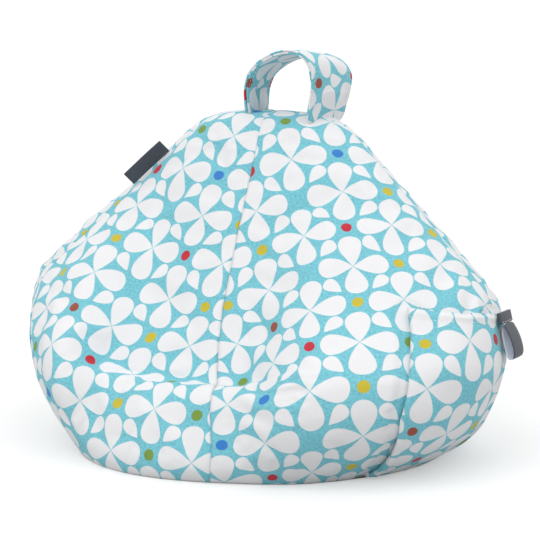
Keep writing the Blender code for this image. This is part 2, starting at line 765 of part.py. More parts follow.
def make_zip():
    low, across, out, along, length = zip_frame()
    turn = Matrix((across, out, along)).transposed()
    tape_middle = -ZIP_DEPTH
    run = length - 2 * STOP_LENGTH
    for word, side in (("left", 1), ("right", -1)):
        near = TEETH_SLOT / 2 + TEETH_WIDTH + SEAM_GAP
        x = side * (near + TAPE_WIDTH / 2)
        shape = bmesh.new()
        tape_size = (TAPE_WIDTH, TAPE_CLOTH, length)
        box(shape, tape_size, tape_place(low, turn, x, tape_middle, length / 2), turn)
        add_object(f"zip_tape_{word}", shape, "zip_tape")

        x = side * (TEETH_SLOT / 2 + TEETH_WIDTH / 2)
        shape = bmesh.new()
        count = int(run / TOOTH_PITCH)
        pitch = run / count
        base = tape_middle - TEETH_HEIGHT / 2
        profile = [(STOP_LENGTH, base), (STOP_LENGTH + run, base)]
        for i in reversed(range(count)):
            foot = STOP_LENGTH + i * pitch
            crown = foot + pitch * TOOTH_CROWN_SHARE
            top = base + TEETH_HEIGHT
            low_top = top - TOOTH_NOTCH
            profile += [(foot + pitch, low_top), (crown, low_top), (crown, top), (foot, top)]
        profile = cleaned(profile)
        edge = x - TEETH_WIDTH / 2
        outline = [tape_place(low, turn, edge, b, a) for a, b in profile]
        face = shape.faces.new([shape.verts.new(point) for point in outline])
        grown = bmesh.ops.extrude_face_region(shape, geom=[face])
        moved = [part for part in grown["geom"] if isinstance(part, bmesh.types.BMVert)]
        bmesh.ops.translate(shape, verts=moved, vec=across * TEETH_WIDTH)
        bmesh.ops.recalc_face_normals(shape, faces=shape.faces)
        bmesh.ops.triangulate(shape, faces=shape.faces)
        add_object(f"zip_teeth_{word}", shape, "zip_coil")
    for word, place in (("bottom", STOP_LENGTH / 2), ("top", length - STOP_LENGTH / 2)):
        shape = bmesh.new()
        size = (TEETH_SLOT + 2 * TEETH_WIDTH, TEETH_HEIGHT, STOP_LENGTH - 2 * SEAM_GAP)
        box(shape, size, tape_place(low, turn, 0.0, tape_middle, place), turn)
        add_object(f"zip_{word}_stop", shape, "zip_metal")
    make_slider(low, turn, tape_middle, length)


def cleaned(points):
    """The points with every repeat left out."""
    kept = []
    for point in points:
        if not kept or (Vector(point) - Vector(kept[-1])).length > SEAM_GAP / 10:
            kept.append(point)
    return kept


def tape_place(low, turn, x, depth, along):
    return low + turn @ Vector((x, depth, along))


def make_slider(low, turn, middle, length):
    """The slider and its pull, at the closed end of the zip, as local shapes on their pivots."""
    reach = TEETH_HEIGHT / 2 + SLIDER_CLEARANCE
    centre = length - STOP_LENGTH - SLIDER_CLEARANCE - SLIDER_LENGTH / 2
    origin = tape_place(low, turn, 0.0, middle, centre)
    plate = (SLIDER_WIDTH, SLIDER_PLATE, SLIDER_LENGTH)
    shape = bmesh.new()
    top = reach + SLIDER_PLATE / 2
    post = 2 * (reach + SLIDER_PLATE / 2)
    parts = [
        (plate, (0, top, 0)),
        (plate, (0, -top, 0)),
        ((SLIDER_POST, post, SLIDER_POST_LENGTH), (0, 0, 0)),
    ]
    roof = reach + SLIDER_PLATE + BRIDGE_ROOM + BRIDGE_BAR / 2
    leg = BRIDGE_ROOM + BRIDGE_BAR + SLIDER_PLATE / 2
    leg_middle = reach + SLIDER_PLATE / 2 + leg / 2
    bridge_half = SLIDER_LENGTH / 2 - BRIDGE_BAR
    parts.append(((BRIDGE_WIDTH, BRIDGE_BAR, 2 * bridge_half), (0, roof, 0)))
    for end in (-1, 1):
        place = (0, leg_middle, end * (bridge_half - BRIDGE_BAR / 2))
        parts.append(((BRIDGE_WIDTH, leg, BRIDGE_BAR), place))
    slider = union_of("zip_slider", parts, "zip_metal")
    slider.data.transform(turn.to_4x4())
    slider.location = origin

    eye = reach + SLIDER_PLATE + BRIDGE_ROOM / 2
    pivot = origin + turn @ Vector((0, eye, 0))
    arm_x = (PULL_WIDTH - PULL_ARM) / 2
    lift = PULL_PLATE / 2 - PULL_BAR / 2
    parts = [((PULL_WIDTH, PULL_BAR, PULL_BAR), (0, 0, 0))]
    for side in (-1, 1):
        size = (PULL_ARM, PULL_PLATE, PULL_EYE_LENGTH)
        parts.append((size, (side * arm_x, lift, -PULL_EYE_LENGTH / 2 + PULL_BAR / 2)))
    tab = PULL_LENGTH - PULL_EYE_LENGTH
    tab_middle = -PULL_EYE_LENGTH + PULL_BAR / 2 + PULL_ARM / 2 - tab / 2
    parts.append(((PULL_WIDTH, PULL_PLATE, tab + PULL_ARM), (0, lift, tab_middle)))
    pull = union_of("zip_pull", parts, "zip_metal")
    pull.data.transform(turn.to_4x4())
    pull.location = pivot
    axis, along = turn.col[0], turn.col[2]
    print("zip pull pivot", tuple(round(v, 5) for v in pivot), "axis", tuple(round(v, 5) for v in axis))
    travel = centre - SLIDER_LENGTH / 2 - STOP_LENGTH
    print("zip slide axis", tuple(round(v, 5) for v in along), "travel", round(travel, 5))


def union_of(name, parts, finish):
    """Boxes joined into one body with Boolean unions."""
    made = None
    for i, (size, centre) in enumerate(parts):
        shape = bmesh.new()
        box(shape, size, Vector(centre))
        piece = add_object(name if made is None else f"{name}_join_{i}", shape, finish)
        if made is None:
            made = piece
            continue
        join = made.modifiers.new(f"join_{i}", "BOOLEAN")
        join.operation = "UNION"
        join.object = piece
        piece.hide_render = True
        piece.display_type = "WIRE"
    bpy.context.view_layer.update()
    graph = bpy.context.evaluated_depsgraph_get()
    mesh = bpy.data.meshes.new_from_object(made.evaluated_get(graph))
    for join in list(made.modifiers):
        bpy.data.objects.remove(join.object, do_unlink=True)
    made.modifiers.clear()
    made.data = mesh
    return made


def main():
    clear_scene()
    make_cover()
    make_base()
    make_liner()
    make_pocket()
    make_tag()
    make_label()
    make_loop()
    make_zip()


main()
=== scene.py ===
import math

import bmesh
import bpy
import numpy as np
from mathutils import Matrix, Vector, noise
from mathutils.bvhtree import BVHTree
from mathutils.kdtree import KDTree


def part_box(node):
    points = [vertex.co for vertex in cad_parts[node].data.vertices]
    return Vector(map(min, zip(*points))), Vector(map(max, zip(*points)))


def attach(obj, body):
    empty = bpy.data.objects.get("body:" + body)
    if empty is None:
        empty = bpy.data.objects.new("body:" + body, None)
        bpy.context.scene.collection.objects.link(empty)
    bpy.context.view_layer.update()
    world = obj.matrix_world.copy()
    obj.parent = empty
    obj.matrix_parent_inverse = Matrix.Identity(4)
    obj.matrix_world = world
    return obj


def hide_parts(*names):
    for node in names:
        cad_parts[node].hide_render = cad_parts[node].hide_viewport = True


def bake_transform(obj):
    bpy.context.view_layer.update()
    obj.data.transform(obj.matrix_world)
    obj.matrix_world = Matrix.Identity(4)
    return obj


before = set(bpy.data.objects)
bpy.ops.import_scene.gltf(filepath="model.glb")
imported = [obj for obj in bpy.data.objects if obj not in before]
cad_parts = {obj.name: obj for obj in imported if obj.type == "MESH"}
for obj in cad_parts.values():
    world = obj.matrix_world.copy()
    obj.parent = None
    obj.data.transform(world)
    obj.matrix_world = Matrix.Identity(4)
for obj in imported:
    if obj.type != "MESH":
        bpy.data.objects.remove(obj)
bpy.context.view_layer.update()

# Camera.
# It stands to the right of the front, a little higher than the bag, and looks slightly down on it
# through a long lens that keeps the sides of the bag nearly parallel.
CAMERA_PLACE = Vector((0.44118, -1.21183, 0.35126))
CAMERA_RIGHT = Vector((0.93969, 0.34202, 0.0))
CAMERA_UP = Vector((-0.06016, 0.16528, 0.98441))
CAMERA_LENS = 130
SENSOR_WIDTH = 36

camera = bpy.data.objects.new("camera", bpy.data.cameras.new("camera"))
camera.data.lens = CAMERA_LENS
camera.data.sensor_width = SENSOR_WIDTH
axes = Matrix((CAMERA_RIGHT, CAMERA_UP, CAMERA_RIGHT.cross(CAMERA_UP))).transposed()
camera.matrix_world = Matrix.Translation(CAMERA_PLACE) @ axes.to_4x4()
bpy.context.scene.collection.objects.link(camera)
bpy.context.scene.camera = camera
bpy.context.scene.view_settings.view_transform = "Standard"

# Floor and light.
# A white studio sweep: even light from all around, one wide soft lamp from the upper left of the
# front, a weaker one from the right and a faint one from behind, and a floor that keeps the soft
# shadow under the bag. Each lamp has its strength, its spread in degrees and its direction.
AMBIENT = 0.57
FLOOR_GREY = 0.62
FLOOR_LIFT = 0.38
FLOOR_SIZE = 8.0
LAMPS = {
    "key": (1.22, 50, Vector((0.35, 0.75, -0.95))),
    "side": (0.80, 70, Vector((-0.8, 0.2, -1.05))),
    "back": (0.50, 70, Vector((0.1, -0.9, -0.8))),
}


def calc(tree, operation, *values, clamp=False):
    """The result of a Math node on sockets or numbers."""
    node = tree.nodes.new("ShaderNodeMath")
    node.operation = operation
    node.use_clamp = clamp
    for socket, value in zip(node.inputs, values):
        if isinstance(value, bpy.types.NodeSocket):
            tree.links.new(value, socket)
        else:
            socket.default_value = value
    return node.outputs[0]


def shown(tree):
    """One for rays from the camera, from mirror-like faces or through glass, else nought."""
    rays = tree.nodes.new("ShaderNodeLightPath").outputs
    either = calc(tree, "MAXIMUM", rays["Is Camera Ray"], rays["Is Glossy Ray"])
    return calc(tree, "MAXIMUM", either, rays["Is Transmission Ray"])


def lamp(name, strength, spread, direction):
    light = bpy.data.lights.new(name, "SUN")
    light.energy = strength
    light.angle = math.radians(spread)
    fitting = bpy.data.objects.new(name, light)
    fitting.rotation_euler = direction.to_track_quat("-Z", "Y").to_euler()
    bpy.context.scene.collection.objects.link(fitting)


for name, (strength, spread, direction) in LAMPS.items():
    lamp(name, strength, spread, direction)

world = bpy.data.worlds.new("studio")
world.use_nodes = True
bpy.context.scene.world = world
sky = world.node_tree.nodes["Background"]
sky.inputs["Color"].default_value = (1, 1, 1, 1)
brightness = world.node_tree.nodes.new("ShaderNodeMapRange")
brightness.inputs["To Min"].default_value = AMBIENT
brightness.inputs["To Max"].default_value = 1.0
world.node_tree.links.new(shown(world.node_tree), brightness.inputs["Value"])
world.node_tree.links.new(brightness.outputs[0], sky.inputs["Strength"])

sweep = bpy.data.materials.new("studio_floor")
sweep.use_nodes = True
tree = sweep.node_tree
tree.nodes.remove(tree.nodes["Principled BSDF"])
matt = tree.nodes.new("ShaderNodeBsdfDiffuse")
matt.inputs["Color"].default_value = (FLOOR_GREY, FLOOR_GREY, FLOOR_GREY, 1)
lift = tree.nodes.new("ShaderNodeEmission")
tree.links.new(calc(tree, "MULTIPLY", shown(tree), FLOOR_LIFT), lift.inputs["Strength"])
both = tree.nodes.new("ShaderNodeAddShader")
tree.links.new(matt.outputs[0], both.inputs[0])
tree.links.new(lift.outputs[0], both.inputs[1])
tree.links.new(both.outputs[0], tree.nodes["Material Output"].inputs["Surface"])

ground = bmesh.new()
bmesh.ops.create_grid(ground, x_segments=1, y_segments=1, size=FLOOR_SIZE)
floor = bpy.data.objects.new("floor", bpy.data.meshes.new("floor"))
ground.to_mesh(floor.data)
ground.free()
floor.data.materials.append(sweep)
bpy.context.scene.collection.objects.link(floor)

# Printed cotton.
# A woven cotton canvas, teal with off-white four-petal flowers, small leaves between them and a few
# coloured dots, printed on the cloth before it is cut, so the print breaks at every seam. Petals
# and leaves are given by length and width. Their shape is a power of the way along them, times one
# that closes their round end. A grain has a scale and a detail.
REPEAT = 0.0305
PETAL = (0.0232, 0.0160)
LEAF = (0.0145, 0.0100)
PETAL_RISE = 0.85
PETAL_CLOSE = 2.6
PETAL_FULL = 0.87
DOT_RADIUS = 0.0040
DOT_SHARE = 0.9
PRINT_EDGE = 0.0005
PRINT_WANDER = 0.009
PRINT_WANDER_GRAIN = (17.0, 1.0)
WEAVE_PITCH = 0.0007
WEAVE_DEPTH = 0.00012
WEAVE_STRENGTH = 0.6
SLUB_PITCHES = 0.35
SLUB_DETAIL = 3.0
SLUB_HEIGHT = 2.0
MOTTLE_GRAIN = (620.0, 5.0)
TEAL = (120, 195, 209)
TEAL_SHADES = (0.80, 1.19)
PETAL_WHITE = (241, 241, 243)
WHITE_SHADES = (0.97, 1.0)
DOT_COLOURS = ((198, 46, 62), (60, 128, 205), (125, 155, 70), (205, 188, 60), (155, 78, 62))
CANVAS_ROUGHNESS = 0.82
CANVAS_SHEEN = 0.12
CANVAS_SHINE = 0.25


def dye(red, green, blue):
    """A colour in the usual 0 to 255 numbers, as a shader takes it."""
    return tuple(((c / 255 + 0.055) / 1.055) ** 2.4 for c in (red, green, blue)) + (1.0,)


def blended(tree, share, start, end):
    """One colour turning into another by a share."""
    node = tree.nodes.new("ShaderNodeMix")
    node.data_type = "RGBA"
    for socket, value in zip((node.inputs[0], node.inputs[6], node.inputs[7]), (share, start, end)):
        if isinstance(value, bpy.types.NodeSocket):
            tree.links.new(value, socket)
        else:
            socket.default_value = value
    return node.outputs[2]


def shaded(tree, share, colour, shades):
    """A colour that runs between two shades of itself by a share."""
    ends = [dye(*[min(c * shade, 255) for c in colour]) for shade in shades]
    return blended(tree, share, *ends)


def grain(tree, place, scale, detail):
    node = tree.nodes.new("ShaderNodeTexNoise")
    node.inputs["Scale"].default_value = scale
    node.inputs["Detail"].default_value = detail
    tree.links.new(place, node.inputs["Vector"])
    return node


def in_place(tree):
    """Where a point is on its piece, in metres."""
    return tree.nodes.new("ShaderNodeTexCoord").outputs["Object"]


def bumped(tree, height, depth, shader, strength=1.0):
    bump = tree.nodes.new("ShaderNodeBump")
    bump.inputs["Distance"].default_value = depth
    bump.inputs["Strength"].default_value = strength
    tree.links.new(height, bump.inputs["Height"])
    tree.links.new(bump.outputs[0], shader.inputs["Normal"])
    return bump


def woven(tree, place, pitch, depth, shader):
    """The over and under of a plain weave, as bump on a shader."""
    split = tree.nodes.new("ShaderNodeSeparateXYZ")
    tree.links.new(place, split.inputs[0])
    turns = math.tau / pitch
    waves = [calc(tree, "SINE", calc(tree, "MULTIPLY", split.outputs[i], turns)) for i in range(3)]
    height = calc(tree, "ADD", calc(tree, "MULTIPLY", waves[0], waves[1]), waves[2])
    uneven = grain(tree, place, SLUB_PITCHES / pitch, SLUB_DETAIL).outputs["Fac"]
    height = calc(tree, "ADD", height, calc(tree, "MULTIPLY", uneven, SLUB_HEIGHT))
    bumped(tree, height, depth, shader, WEAVE_STRENGTH)


def new_finish(name, roughness, sheen=0.0, metal=0.0):
    finish = bpy.data.materials.new(name)
    finish.use_nodes = True
    shader = finish.node_tree.nodes["Principled BSDF"]
    shader.inputs["Roughness"].default_value = roughness
    shader.inputs["Sheen Weight"].default_value = sheen
    shader.inputs["Metallic"].default_value = metal
    return finish, finish.node_tree, shader


def petal_mask(tree, along, across, size):
    """White inside a petal that is pointed where along is nought and round at its far end."""
    length, width = size
    share = calc(tree, "DIVIDE", along, length, clamp=True)
    rise = calc(tree, "POWER", share, PETAL_RISE)
    close = calc(tree, "SQRT", calc(tree, "SUBTRACT", 1.0, calc(tree, "POWER", share, PETAL_CLOSE)))
    half = calc(tree, "MULTIPLY", calc(tree, "MULTIPLY", rise, close), PETAL_FULL * width)
    return calc(tree, "DIVIDE", calc(tree, "SUBTRACT", half, across), PRINT_EDGE, clamp=True)


def nearest_site(tree, x, y, offset):
    """How far a place is from the nearest site of the diagonal lattice, and which site that is."""
    rising = calc(tree, "MULTIPLY_ADD", calc(tree, "ADD", x, y), 0.5, offset)
    falling = calc(tree, "MULTIPLY_ADD", calc(tree, "SUBTRACT", x, y), 0.5, offset)
    sites = calc(tree, "ROUND", rising), calc(tree, "ROUND", falling)
    rest = calc(tree, "SUBTRACT", rising, sites[0]), calc(tree, "SUBTRACT", falling, sites[1])
    across = calc(tree, "MULTIPLY", calc(tree, "ADD", *rest), REPEAT)
    up = calc(tree, "MULTIPLY", calc(tree, "SUBTRACT", *rest), REPEAT)
    return calc(tree, "ABSOLUTE", across), calc(tree, "ABSOLUTE", up), sites


def flower_mask(tree, x, y):
    """Four petals on every second crossing of the squares."""
    across, up, _ = nearest_site(tree, x, y, 0.0)
    far, near = calc(tree, "MAXIMUM", across, up), calc(tree, "MINIMUM", across, up)
    return petal_mask(tree, far, near, PETAL)


def leaf_mask(tree, x, y):
    """A leaf across the middle of every square, leaning the other way in each next one."""
    column, row = calc(tree, "FLOOR", x), calc(tree, "FLOOR", y)
    from_middle = [
        calc(tree, "MULTIPLY", calc(tree, "SUBTRACT", calc(tree, "SUBTRACT", a, b), 0.5), REPEAT)
        for a, b in ((x, column), (y, row))
    ]
    odd = calc(tree, "FLOORED_MODULO", calc(tree, "ADD", column, row), 2.0)
    side = calc(tree, "MULTIPLY_ADD", odd, 2.0, -1.0)
    slanted = calc(tree, "MULTIPLY", from_middle[0], side)
    along, beside = (
        calc(tree, "MULTIPLY", calc(tree, operation, slanted, from_middle[1]), math.sqrt(0.5))
        for operation in ("ADD", "SUBTRACT")
    )
    along = calc(tree, "ADD", along, LEAF[0] / 2)
    return petal_mask(tree, along, calc(tree, "ABSOLUTE", beside), LEAF)


def dots(tree, x, y):
    """Where the dots between the flowers are, and the ink of each."""
    across, up, sites = nearest_site(tree, x, y, 0.5)
    squares = calc(tree, "MULTIPLY", across, across), calc(tree, "MULTIPLY", up, up)
    inside = calc(tree, "SUBTRACT", DOT_RADIUS, calc(tree, "SQRT", calc(tree, "ADD", *squares)))
    spot = calc(tree, "DIVIDE", inside, PRINT_EDGE, clamp=True)
    pick = tree.nodes.new("ShaderNodeTexWhiteNoise")
    pick.noise_dimensions = "2D"
    key = tree.nodes.new("ShaderNodeCombineXYZ")
    tree.links.new(sites[0], key.inputs[0])
    tree.links.new(sites[1], key.inputs[1])
    tree.links.new(key.outputs[0], pick.inputs["Vector"])
    spot = calc(tree, "MULTIPLY", spot, calc(tree, "LESS_THAN", pick.outputs["Value"], DOT_SHARE))
    inks = tree.nodes.new("ShaderNodeValToRGB")
    steps = inks.color_ramp
    steps.interpolation = "CONSTANT"
    while len(steps.elements) < len(DOT_COLOURS):
        steps.elements.new(1.0)
    for i, colour in enumerate(DOT_COLOURS):
        steps.elements[i].position = i / len(DOT_COLOURS)
        steps.elements[i].color = dye(*colour)
    tree.links.new(calc(tree, "DIVIDE", pick.outputs["Value"], DOT_SHARE), inks.inputs[0])
    return spot, inks.outputs[0]


def printed_cotton():
    finish, tree, shader = new_finish("printed_cotton_cloth", CANVAS_ROUGHNESS, CANVAS_SHEEN)
    shader.inputs["Specular IOR Level"].default_value = CANVAS_SHINE
    cut = tree.nodes.new("ShaderNodeUVMap")
    cut.uv_map = "cut"
    place = cut.outputs[0]
    drift = tree.nodes.new("ShaderNodeVectorMath")
    drift.operation = "MULTIPLY_ADD"
    drift.inputs[1].default_value = (PRINT_WANDER, PRINT_WANDER, 0)
    wander = grain(tree, place, *PRINT_WANDER_GRAIN).outputs["Color"]
    tree.links.new(wander, drift.inputs[0])
    tree.links.new(place, drift.inputs[2])
    split = tree.nodes.new("ShaderNodeSeparateXYZ")
    tree.links.new(drift.outputs[0], split.inputs[0])
    x, y = (calc(tree, "DIVIDE", split.outputs[i], REPEAT) for i in range(2))

    mottle = grain(tree, place, *MOTTLE_GRAIN).outputs["Fac"]
    teal = shaded(tree, mottle, TEAL, TEAL_SHADES)
    white = shaded(tree, mottle, PETAL_WHITE, WHITE_SHADES)
    bare = calc(tree, "MAXIMUM", flower_mask(tree, x, y), leaf_mask(tree, x, y))
    spot, ink = dots(tree, x, y)
    colour = blended(tree, spot, blended(tree, bare, teal, white), ink)
    tree.links.new(colour, shader.inputs["Base Color"])
    woven(tree, place, WEAVE_PITCH, WEAVE_DEPTH, shader)
    return finish


cotton = printed_cotton()

# Cover panels.
# Four panels of the printed cotton, sewn edge to edge round the filling: two at the front, which
# also make the ledge and the leaning rest, and two behind, with the zip between them. The seams
# draw the cloth in, and the slack beside them puckers. Each panel has its CAD node, the turn and
# the shift of its cut on the print, and the width, length and area of its cut. A dart takes up the
# cloth at the right-hand end of the ledge.
CLOTH = 0.0012
SAME_PLACE = 1e-5
CUT_EDGE = math.radians(50)
TOP_CUT = 1.1 * CLOTH
UNFOLD_ROUNDS = 30
SIMULATED_LEVELS = 2
FINE_LEVELS = 1
RIM_MARKS = (0, 0.33, 0.67)
SEAM_DEPTH = 0.0007
SEAM_REACH = 0.0030
SEAM_WANDER = 0.0004
SEAM_WANDER_SCALE = 130.0
SEAM_WANDER_REACH = 0.009
SEAM_CLOSE = 0.00013
FOOT_RISE = 0.014
FLOOR_GAP = 0.0004
PUCKER = 0.0009
PUCKER_SCALE = 75.0
PUCKER_SHIFT = Vector((5, 1, 2))
PUCKER_START = 0.004
PUCKER_REACH = 0.020
SWELL = 0.0014
SWELL_SCALE = 22.0
SWELL_START = 0.03
POCKET_NEAR = 0.008
POCKET_SINK = 0.0012
SLACK = 0.035
PRESSURE = 2.0
STEPS = 20
CLOTH_QUALITY = 5
CLOTH_MASS = 0.2
CLOTH_STIFFNESS = 0.8
PIN_HOLD = 1.25
PIN_REACH = 0.02
BROAD_ROUNDS = 30
MOST_MOVE = 0.0026
PANELS = {
    "cover_front_left": ("front_left_panel", 4, (0.010, 0.020), (0.194, 0.300), 0.0369),
    "cover_front_right": ("front_right_panel", -6, (0.025, 0.004), (0.224, 0.332), 0.0516),
    "cover_back_right": ("back_right_panel", 3, (0.013, 0.028), (0.232, 0.280), 0.0432),
    "cover_back_left": ("back_left_panel", -4, (0.002, 0.011), (0.270, 0.321), 0.0571),
}
DART_PANEL = "cover_front_right"
DART_POINTS = (
    (30, -45, 94), (34, -41.5, 101), (46, -27, 123), (55, -20.5, 134.6), (61.4, -11.6, 146.4)
)
DART = [Vector(point) / 1000 for point in DART_POINTS]
DART_DEPTH = 0.0042
DART_WIDTH = 0.0046
DART_END = 0.04
DART_RIDGE = 0.5
DART_RIDGE_PLACE = 2.3 * DART_WIDTH


def solid_tree(*nodes):
    """The CAD solids of some nodes, to find the nearest place on."""
    points, faces = [], []
    for node in nodes:
        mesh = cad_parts[node].data
        faces += [[len(points) + i for i in side.vertices] for side in mesh.polygons]
        points += [vert.co for vert in mesh.vertices]
    return BVHTree.FromPolygons(points, faces)


def node_shape(node):
    """The CAD solid of a node as a shape of its own, merged where its points meet."""
    shape = bmesh.new()
    shape.from_mesh(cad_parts[node].data)
    bmesh.ops.remove_doubles(shape, verts=shape.verts, dist=SAME_PLACE)
    return shape


def sides_of(shape, top):
    """The faces of a slab of cloth in patches that end at its cut edges, the smallest first."""
    floor_cut = {f for f in shape.faces if max(v.co.z for v in f.verts) < SAME_PLACE}
    top_cut = {f for f in shape.faces if min(v.co.z for v in f.verts) > top}
    left, found = set(shape.faces) - floor_cut - top_cut, []
    while left:
        patch, waiting = set(), [left.pop()]
        while waiting:
            face = waiting.pop()
            patch.add(face)
            for edge in face.edges:
                if edge.is_manifold and edge.calc_face_angle_signed() < CUT_EDGE:
                    for other in edge.link_faces:
                        if other in left:
                            left.discard(other)
                            waiting.append(other)
        found.append(patch)
    return sorted(found, key=lambda patch: sum(face.calc_area() for face in patch))


def show_side(node, rank=-1, top=1.0):
    """One side of a CAD cloth slab as a sheet of four-sided faces: rank -1 is its larger side."""
    shape = node_shape(node)
    shape.normal_update()
    keep = sides_of(shape, top)[rank]
    bmesh.ops.delete(shape, geom=[f for f in shape.faces if f not in keep], context="FACES")
    bmesh.ops.join_triangles(
        shape, faces=shape.faces, angle_face_threshold=math.pi, angle_shape_threshold=math.pi
    )
    return shape


def new_piece(name, shape):
    piece = bpy.data.objects.new(name, bpy.data.meshes.new(name))
    shape.to_mesh(piece.data)
    shape.free()
    bpy.context.scene.collection.objects.link(piece)
    return piece


def settled(piece):
    """Makes what the modifiers give the piece's own mesh."""
    ready = piece.evaluated_get(bpy.context.evaluated_depsgraph_get())
    mesh = bpy.data.meshes.new_from_object(ready)
    piece.modifiers.clear()
    piece.data = mesh
    return piece


def refined(piece, levels):
    smoother = piece.modifiers.new("smoother", "SUBSURF")
    smoother.levels = smoother.render_levels = levels
    smoother.boundary_smooth = "PRESERVE_CORNERS"
    return settled(piece)


def thickened(piece, depth):
    """Gives a sheet its thickness, inwards from the side that is modelled."""
    wall = piece.modifiers.new("cloth", "SOLIDIFY")
    wall.thickness = depth
    wall.offset = -1


def dressed(piece, finish, body, nodes):
    piece.data.materials.clear()
    piece.data.materials.append(finish)
    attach(piece, body)
    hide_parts(*nodes)
    return piece


def places(mesh, what="co"):
    values = np.empty(len(mesh.vertices) * 3)
    mesh.vertices.foreach_get(what, values)
    return values.reshape(-1, 3)


def outward(mesh):
    return places(mesh, "normal")


def moved(mesh, where):
    mesh.vertices.foreach_set("co", where.ravel())
    mesh.update()


def edge_pairs(mesh):
    pairs = np.empty(len(mesh.edges) * 2, dtype=int)
    mesh.edges.foreach_get("vertices", pairs)
    return pairs.reshape(-1, 2)


def rim_pairs(mesh):
    """The edges on the border of a sheet."""
    used = np.empty(len(mesh.loops), dtype=int)
    mesh.loops.foreach_get("edge_index", used)
    return edge_pairs(mesh)[np.bincount(used, minlength=len(mesh.edges)) == 1]


def seam_distance(mesh):
    """How far each point is from the sheet's border."""
    where = places(mesh)
    starts, ends = (where[side] for side in rim_pairs(mesh).T)
    marks = np.concatenate([starts * (1 - share) + ends * share for share in RIM_MARKS])
    near = KDTree(len(marks))
    for i, mark in enumerate(marks):
        near.insert(mark, i)
    near.balance()
    return np.array([near.find(point)[2] for point in where])


def closed_up(mesh, step):
    """Moves a sheet's border out in its own plane, to meet the sheet that it is sewn to."""
    where = places(mesh)
    rim = np.zeros(len(where), dtype=bool)
    rim[rim_pairs(mesh).ravel()] = True
    away = np.zeros_like(where)
    for start, end in edge_pairs(mesh):
        if rim[start] != rim[end]:
            edge, inner = (start, end) if rim[start] else (end, start)
            away[edge] += where[edge] - where[inner]
    length = np.linalg.norm(away, axis=1)
    moved(mesh, where + step * away / np.maximum(length, 1e-9)[:, None])


def unfolded(piece, turn, shift):
    """Gives a sheet the map of its flat cut, in metres, with the piece's height running up it."""
    bpy.ops.object.select_all(action="DESELECT")
    bpy.context.view_layer.objects.active = piece
    piece.select_set(True)
    piece.data.uv_layers.new(name="cut")
    bpy.ops.object.mode_set(mode="EDIT")
    bpy.ops.mesh.select_all(action="SELECT")
    bpy.ops.uv.unwrap(method="MINIMUM_STRETCH", iterations=UNFOLD_ROUNDS)
    bpy.ops.object.mode_set(mode="OBJECT")
    layer = piece.data.uv_layers["cut"].uv
    flat = np.empty(len(layer) * 2)
    layer.foreach_get("vector", flat)
    flat = flat.reshape(-1, 2)
    size = 0.0
    for face in piece.data.polygons:
        corners = flat[face.loop_start:face.loop_start + face.loop_total]
        after = np.roll(corners, -1, axis=0)
        size += abs(np.sum(corners[:, 0] * after[:, 1] - corners[:, 1] * after[:, 0])) / 2
    real_size = sum(face.area for face in piece.data.polygons)
    flat = (flat - flat.mean(axis=0)) * math.sqrt(real_size / size)
    point = np.empty(len(layer), dtype=int)
    piece.data.loops.foreach_get("vertex_index", point)
    height = places(piece.data)[point, 2]
    slope = np.linalg.lstsq(np.c_[flat, np.ones(len(flat))], height, rcond=None)[0][:2]
    angle = math.atan2(slope[0], slope[1]) + math.radians(turn)
    spin = np.array(((math.cos(angle), math.sin(angle)), (-math.sin(angle), math.cos(angle))))
    layer.foreach_set("vector", (flat @ spin + np.array(shift)).ravel())
    return piece


def billowed(piece):
    """The slack cloth puffed out between its pinned seams, as the small height that it adds."""
    start = places(piece.data)
    pins = piece.vertex_groups.new(name="pinned")
    for i, distance in enumerate(seam_distance(piece.data)):
        pins.add([i], float(np.clip(PIN_HOLD - distance / PIN_REACH, 0.0, 1.0)), "REPLACE")
    cloth = piece.modifiers.new("billow", "CLOTH")
    cloth.collision_settings.use_collision = False
    cloth.point_cache.frame_start, cloth.point_cache.frame_end = 1, STEPS
    terms = cloth.settings
    terms.quality = CLOTH_QUALITY
    terms.mass = CLOTH_MASS
    terms.bending_stiffness = CLOTH_STIFFNESS
    terms.vertex_group_mass = "pinned"
    terms.shrink_min = -SLACK
    terms.use_pressure = True
    terms.uniform_pressure_force = PRESSURE
    terms.effector_weights.gravity = 0.0
    for step in range(1, STEPS + 1):
        bpy.context.scene.frame_set(step)
    ready = piece.evaluated_get(bpy.context.evaluated_depsgraph_get())
    height = np.sum((places(ready.data) - start) * outward(piece.data), axis=1)
    piece.modifiers.clear()
    piece.vertex_groups.clear()
    bpy.context.scene.frame_set(1)
    pairs = edge_pairs(piece.data)
    count = np.bincount(pairs.ravel(), minlength=len(start))
    broad = height.copy()
    for _ in range(BROAD_ROUNDS):
        total = np.bincount(pairs[:, 0], broad[pairs[:, 1]], len(start))
        total += np.bincount(pairs[:, 1], broad[pairs[:, 0]], len(start))
        broad = (broad + total / np.maximum(count, 1)) / 2
    return MOST_MOVE * np.tanh((height - broad) / MOST_MOVE)


def off_line(point, line):
    """How far a point is from a line of points, and how far along the line that is."""
    best, along = 1.0, 0.0
    for i, (start, end) in enumerate(zip(line, line[1:])):
        run = end - start
        share = min(max((point - start).dot(run) / run.length_squared, 0.0), 1.0)
        distance = (start + share * run - point).length
        if distance < best:
            best, along = distance, (i + share) / (len(line) - 1)
    return best, along


def ramp(value):
    """A smooth step from nought to one."""
    value = np.clip(value, 0.0, 1.0)
    return value * value * (3 - 2 * value)


def bell(offset, width):
    return np.exp(-((offset / width) ** 2))


pocket_solid = solid_tree("pocket_panel")


